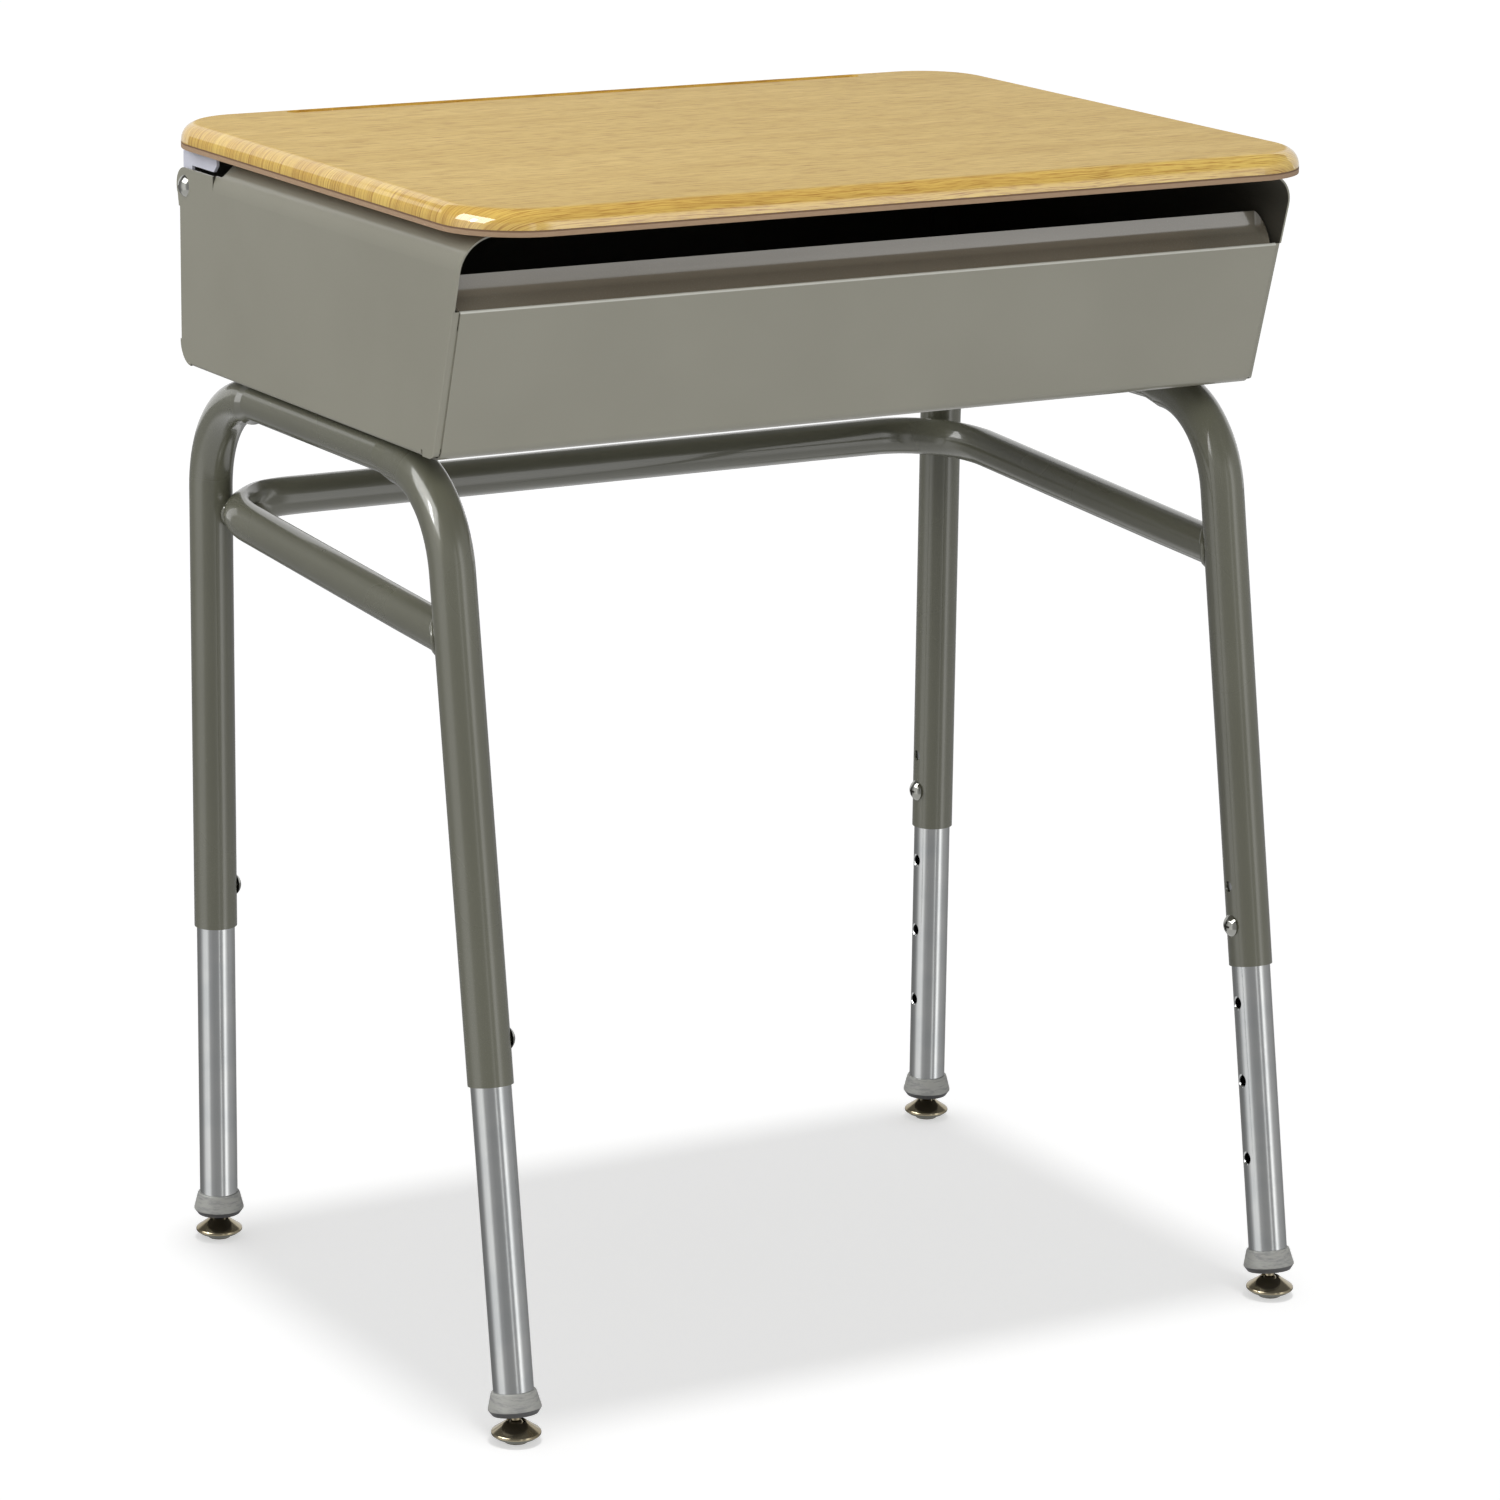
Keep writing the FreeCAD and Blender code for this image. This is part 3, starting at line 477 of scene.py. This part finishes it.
def pick(piece, kind, test):
    """In edit mode, select the vertices or edges whose middle passes a test."""
    bpy.ops.mesh.select_mode(type=kind)
    bpy.ops.mesh.select_all(action="DESELECT")
    mesh = bmesh.from_edit_mesh(piece.data)
    for item in {"VERT": mesh.verts, "EDGE": mesh.edges}[kind]:
        points = [item.co] if kind == "VERT" else [vertex.co for vertex in item.verts]
        item.select_set(test(sum(points, Vector()) / len(points)))
    mesh.select_flush_mode()
    bmesh.update_edit_mesh(piece.data)


def push(way, times=1):
    """Extrude what is selected along a way, in equal steps."""
    step = tuple(part / times for part in way)
    for _ in range(times):
        bpy.ops.mesh.extrude_region_move(TRANSFORM_OT_translate={"value": step})


def apply_modifier(piece, kind, settings):
    """Add a modifier with its settings and apply it."""
    modifier = piece.modifiers.new(kind.lower(), kind)
    for name, value in settings.items():
        setattr(modifier, name, value)
    bpy.context.view_layer.objects.active = piece
    bpy.ops.object.modifier_apply(modifier=modifier.name)


def weigh(piece, name, weight):
    """Give each vertex its weight, by place, in a named group."""
    group = piece.vertex_groups.new(name=name)
    for vertex in piece.data.vertices:
        group.add([vertex.index], weight(vertex.co), "REPLACE")


def finish_piece(piece, name, finish, smooth_angle):
    """Name, shade and place a finished piece on the desk's frame."""
    piece.name = name
    piece.data.name = name
    select_only(piece)
    bpy.ops.object.shade_smooth_by_angle(angle=math.radians(smooth_angle))
    piece.vertex_groups.clear()
    piece.data.materials.clear()
    piece.data.materials.append(finish)
    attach(piece, "desk_frame")


def bend_place(point):
    """Where a point of the level brace is: along its nearer bend, and round the tube from its inside."""
    side = 1 if point.x > 0 else -1
    out = side * point.x - (frame_x - brace_bend)
    back = point.y - (brace_back_y - brace_bend)
    quarter = brace_bend * math.pi / 4
    if back < 0:
        along, reach = back - quarter, out
    elif out < 0:
        along, reach = quarter - out, back
    else:
        along, reach = brace_bend * math.atan2(back, out) - quarter, math.hypot(out, back)
    inward = max(-1.0, min(1.0, (brace_bend - reach) / brace_radius))
    return side, along, math.degrees(math.acos(inward))


def crush_weight(point):
    """How far the inner wall of a bend has buckled at a point."""
    side, along, turn = bend_place(point)
    near = math.exp(-(along / crush_reach) ** 2) * crush_share[side]
    return near * max(0.0, math.cos(math.radians(turn))) ** crush_curve


def ridge_weight(point):
    """How far the buckled wall pushes out its upper and lower edges at a point."""
    side, along, turn = bend_place(point)
    near = math.exp(-(along / ridge_reach) ** 2) * crush_share[side]
    return near * math.exp(-((turn - ridge_turn) / ridge_width) ** 2)


def tip_ring():
    """Circle at the left tip of the level brace."""
    clear_selection()
    bpy.ops.mesh.primitive_circle_add(vertices=brace_sides, radius=brace_radius,
                                      location=(-frame_x, brace_tip_y, brace_height),
                                      rotation=(math.pi / 2, 0, 0))
    settle()
    return bpy.context.object


def turn_bend(side):
    """Spin the open end of the brace round one of its bends."""
    centre = (side * (frame_x - brace_bend), brace_back_y - brace_bend, brace_height)
    bpy.ops.mesh.spin(steps=brace_bend_steps, angle=math.radians(90), center=centre, axis=(0, 0, 1))


def tilted(piece):
    """Tilt a piece of the brace down to the front legs."""
    pivot = Matrix.Translation((0, brace_back_y, brace_height))
    piece.data.transform(pivot @ Matrix.Rotation(math.radians(brace_tilt), 4, "X") @ pivot.inverted())


def cope(piece, group, side, lift):
    """Push the tips on one side forward to a small lift off the front leg there."""
    apply_modifier(piece, "SHRINKWRAP", {
        "target": frame["nodes"]["side_frame_" + side], "vertex_group": group, "wrap_method": "PROJECT",
        "use_project_y": True, "use_negative_direction": True, "use_positive_direction": False,
        "project_limit": cope_reach, "offset": lift})


def brace_piece():
    """U-shaped brace with bends that have buckled on their inside, coped to the front legs."""
    brace = tip_ring()
    open_mesh()
    run = brace_back_y - brace_bend - brace_tip_y - brace_ease
    push((0, run, 0), run_steps)
    push((0, brace_ease, 0), ease_steps)
    turn_bend(-1)
    push((brace_ease, 0, 0), ease_steps)
    push((2 * (frame_x - brace_bend - brace_ease), 0, 0), bar_steps)
    push((brace_ease, 0, 0), ease_steps)
    turn_bend(1)
    push((0, -brace_ease, 0), ease_steps)
    push((0, -run, 0), run_steps)
    close_mesh()
    weigh(brace, "crush", crush_weight)
    weigh(brace, "ridge", ridge_weight)
    apply_modifier(brace, "DISPLACE", {"vertex_group": "crush", "strength": -crush_depth, "mid_level": 0.0})
    apply_modifier(brace, "DISPLACE", {"vertex_group": "ridge", "strength": ridge_height, "mid_level": 0.0})
    tilted(brace)
    weigh(brace, "tips", lambda point: 1.0 if point.y < brace_tip_y + brace_radius / 10 else 0.0)
    for side in ("left", "right"):
        cope(brace, "tips", side, -cope_sink)
    finish_piece(brace, "brace_crushed", frame_paint, brace_smooth)
    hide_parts("brace_tube")


def ripple(piece, height):
    """Uneven skin of a weld."""
    pattern = bpy.data.textures.new("weld_ripple", "CLOUDS")
    pattern.noise_scale = weld_radius
    apply_modifier(piece, "DISPLACE", {"texture": pattern, "strength": height, "texture_coords": "LOCAL"})


def mirrored(piece):
    """Copy a left-hand piece to the right-hand side, with a mesh of its own."""
    select_only(piece)
    bpy.ops.object.duplicate()
    twin = bpy.context.object
    twin.scale = (-1, 1, 1)
    settle()
    open_mesh()
    close_mesh()
    return twin


def finish_pair(piece, name):
    """Finish a left-hand weld and its right-hand copy."""
    twin = mirrored(piece)
    finish_piece(piece, name + "_left", frame_paint, weld_smooth)
    finish_piece(twin, name + "_right", frame_paint, weld_smooth)


def leg_welds():
    """Beads round the tips of the brace where they meet the front legs."""
    bead = tip_ring()
    tilted(bead)
    weigh(bead, "ring", lambda point: 1.0)
    cope(bead, "ring", "left", weld_lift)
    bpy.ops.object.convert(target="CURVE")
    bead.data.bevel_depth = weld_radius
    bead.data.bevel_resolution = weld_steps
    bpy.ops.object.convert(target="MESH")
    ripple(bead, weld_radius / 2)
    finish_pair(bead, "leg_weld")


def tack_welds():
    """Short welds in the corners between the bends of the brace and the rear legs."""
    reach = brace_bend + brace_radius
    centre = Vector((frame_x - brace_bend, brace_back_y - brace_bend))
    out = (Vector((frame_x, rear_leg_y)) - centre).normalized()
    place = centre + out * reach + Vector((out.y, -out.x)) * tack_shift
    clear_selection()
    bpy.ops.mesh.primitive_ico_sphere_add(subdivisions=tack_steps, radius=tack_radius,
                                          location=(-place.x, place.y, brace_height - tack_drop))
    tack = bpy.context.object
    tack.scale = tack_stretch
    settle()
    ripple(tack, tack_radius / 2)
    finish_pair(tack, "tack_weld")


def pencil_trough():
    """Shallow trough behind the top of the front: sloping floor, rear wall, sloping ends, front flange."""
    clear_selection()
    bpy.ops.mesh.primitive_plane_add(size=2, location=(0, (tray_front_y + tray_rear_y) / 2, tray_front_z))
    tray = bpy.context.object
    tray.scale = (tray_half, (tray_rear_y - tray_front_y) / 2, 1)
    settle()
    open_mesh()
    near = tray_bend / 10
    pick(tray, "VERT", lambda point: point.y > tray_rear_y - near)
    bpy.ops.transform.translate(value=(0, 0, tray_rear_z - tray_front_z))
    pick(tray, "EDGE", lambda point: point.y > tray_rear_y - near)
    push((0, tray_lean, tray_top_z - tray_rear_z))
    for sign in (-1, 1):
        pick(tray, "VERT", lambda point: sign * point.x > tray_half - near)
        bpy.ops.mesh.edge_face_add()
    slope = (tray_rear_z - tray_front_z) / (tray_rear_y - tray_front_y)

    def inner_corner(point):
        at_end = abs(point.x) > tray_half - near
        above_floor = point.z - tray_front_z - slope * (point.y - tray_front_y)
        on_floor = abs(above_floor) < near
        at_rear = point.y > tray_rear_y - near
        behind_front = point.y > tray_front_y + near
        return (at_end and (on_floor or at_rear) and behind_front) or (at_rear and on_floor)

    pick(tray, "EDGE", inner_corner)
    bpy.ops.mesh.bevel(offset=tray_bend, segments=tray_bend_steps, affect="EDGES")
    pick(tray, "EDGE", lambda point: point.y < tray_front_y + near and abs(point.x) < near)
    push((0, tray_flange * math.tan(math.radians(front_lean)), -tray_flange))
    close_mesh()
    floor_up = max(tray.data.polygons, key=lambda face: face.area).normal
    apply_modifier(tray, "SOLIDIFY", {"thickness": tray_sheet, "offset": -1.0 if floor_up.z > 0 else 1.0})
    finish_piece(tray, "pencil_trough", tray_paint, tray_smooth)
    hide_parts("pencil_tray")


def studio_floor():
    """Pale floor, white to the camera where no shadow falls, in a group for lamps to leave out."""
    clear_selection()
    bpy.ops.mesh.primitive_plane_add(size=floor_size)
    floor = bpy.context.object
    floor.name = "studio_floor"
    floor.visible_glossy = False
    material = bpy.data.materials.new("studio_white")
    first = empty_nodes(material)
    seen = first.node("ShaderNodeLightPath", {}, {}, "Is Camera Ray")
    glow = first.node("ShaderNodeEmission", {}, {"Strength": seen * floor_glow})
    tone = seen.between(grey(floor_bounce), grey(floor_shade))
    matt = first.node("ShaderNodeBsdfDiffuse", {}, {"Color": tone})
    both = first.node("ShaderNodeAddShader", {}, {0: matt, 1: glow})
    first.node("ShaderNodeOutputMaterial", {}, {"Surface": both})
    floor.data.materials.append(material)
    left_out = bpy.data.collections.new("unlit_by_cards")
    left_out.objects.link(floor)
    left_out.collection_objects[0].light_linking.link_state = "EXCLUDE"
    return left_out


def window_mask(ahead, right, height, turn, lift, wide, tall):
    """1 inside a rectangle that faces the desk, by the tangents of its half width and half height."""
    level = ahead * math.cos(turn) + right * math.sin(turn)
    towards = level * math.cos(lift) + height * math.sin(lift)
    side = right * math.cos(turn) - ahead * math.sin(turn)
    rise = height * math.cos(lift) - level * math.sin(lift)
    across = 1 - abs(side / towards).above(wide, wide + window_blur)
    along = 1 - abs(rise / towards).above(tall, tall + window_blur)
    return across * along * towards.above(*window_ahead)


def studio_world():
    """White surroundings as light, and tall light and dark cards all round for what is shiny."""
    world = bpy.data.worlds.new("studio")
    bpy.context.scene.world = world
    first = empty_nodes(world)
    seen = first.node("ShaderNodeLightPath", {}, {}, "Is Camera Ray")
    shiny = first.node("ShaderNodeLightPath", {}, {}, "Is Glossy Ray")
    way = first.node("ShaderNodeTexCoord", {}, {}, "Generated")
    turn = math.radians(studio_turn)
    ahead = way.part("X") * math.sin(turn) - way.part("Y") * math.cos(turn)
    right = way.part("X") * math.cos(turn) + way.part("Y") * math.sin(turn)
    height = way.part("Z")
    around = right.math("ARCTAN2", right, ahead) / (2 * math.pi) + 0.5
    stops = [(degrees / 360 + 0.5, grey(level / band_gain)) for degrees, level in studio_bands]
    bands = first.node("ShaderNodeValToRGB", {"stops": stops}, {"Fac": around})
    lofty = height.above(*ceiling_edge).between(bands, grey(ceiling_grey / band_gain))
    lit = (0.0 - height).above(*ground_edge).between(lofty, grey(ground_grey / band_gain))
    for degrees, lift, wide, tall, level in studio_windows:
        window = window_mask(ahead, right, height, math.radians(degrees), math.radians(lift), wide, tall)
        lit = window.between(lit, grey(level / band_gain))
    tone = shiny.between(grey(1.0), lit)
    unseen = shiny * (band_gain - sky_strength) + sky_strength
    strength = seen.math("MAXIMUM", seen, unseen)
    background = first.node("ShaderNodeBackground", {}, {"Color": tone, "Strength": strength})
    first.node("ShaderNodeOutputWorld", {}, {"Surface": background})


def overhead_sun():
    """Soft light from straight above, as even over the floor as over the desk."""
    lamp = bpy.data.lights.new("overhead", "SUN")
    lamp.energy = sun_strength
    lamp.angle = math.radians(sun_width)
    sun = bpy.data.objects.new("overhead", lamp)
    sun.visible_glossy = False
    bpy.context.scene.collection.objects.link(sun)


def area_card(name, left_out, degrees, distance, height, width, length, glow):
    """Soft card lamp that faces the desk and lights all but what is left out."""
    turn = math.radians(studio_turn + degrees)
    place = Vector((math.sin(turn) * distance, -math.cos(turn) * distance, height))
    lamp = bpy.data.lights.new(name, "AREA")
    lamp.shape = "RECTANGLE"
    lamp.size = width
    lamp.size_y = length
    lamp.energy = glow * math.pi * width * length
    card = bpy.data.objects.new(name, lamp)
    card.visible_glossy = False
    card.light_linking.receiver_collection = left_out
    bpy.context.scene.collection.objects.link(card)
    facing = (desk_middle - place).to_track_quat("-Z", "Y").to_matrix().to_4x4()
    card.matrix_world = Matrix.Translation(place) @ facing


def set_camera():
    """Camera at the photograph's viewing angle."""
    azimuth, elevation, roll = [math.radians(a) for a in (camera_azimuth, camera_elevation, camera_roll)]
    back = Vector((math.sin(azimuth) * math.cos(elevation), -math.cos(azimuth) * math.cos(elevation),
                   math.sin(elevation)))
    right = Vector((math.cos(azimuth), math.sin(azimuth), 0.0))
    up = back.cross(right)
    tilted_right = right * math.cos(roll) + up * math.sin(roll)
    tilted_up = up * math.cos(roll) - right * math.sin(roll)
    lens = bpy.data.cameras.new("desk_camera")
    lens.lens = camera_lens
    lens.sensor_width = sensor_width
    lens.clip_end = 2 * floor_size
    camera = bpy.data.objects.new("desk_camera", lens)
    bpy.context.scene.collection.objects.link(camera)
    turned = Matrix((tilted_right, tilted_up, back)).transposed().to_4x4()
    camera.matrix_world = Matrix.Translation(camera_place) @ turned
    bpy.context.scene.camera = camera


brace_piece()
pencil_trough()
leg_welds()
tack_welds()
unlit_by_cards = studio_floor()
studio_world()
overhead_sun()
for card_name, card_setting in studio_cards.items():
    area_card(card_name, unlit_by_cards, *card_setting)
set_camera()
bpy.context.scene.view_settings.view_transform = "Standard"
